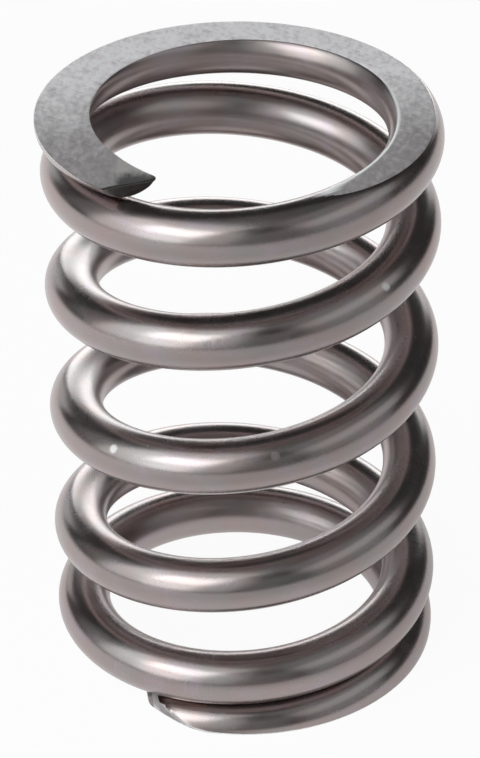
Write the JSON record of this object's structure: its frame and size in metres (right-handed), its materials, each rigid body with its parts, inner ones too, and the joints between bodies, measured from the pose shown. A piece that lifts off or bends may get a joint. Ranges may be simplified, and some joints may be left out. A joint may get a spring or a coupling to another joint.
{
  "type": "engine valve spring",
  "caption": "Helical compression spring of round steel wire, coiled right-handed, with closed ends ground flat across the axis.",
  "frame": {"origin": "in the plane of the lower ground face, in the middle of the spring's width and depth", "axes": "+Z along the coil's axis, from the closed end with the shorter climb up to the end that the picture shows from above"},
  "size_m": [0.0322, 0.033, 0.0496],
  "materials": {
    "spring_steel": "dark oil-tempered drawn wire, with ground end faces"
  },
  "bodies": {
    "root": {"valve_spring": "spring_steel"}
  },
  "joints": []
}
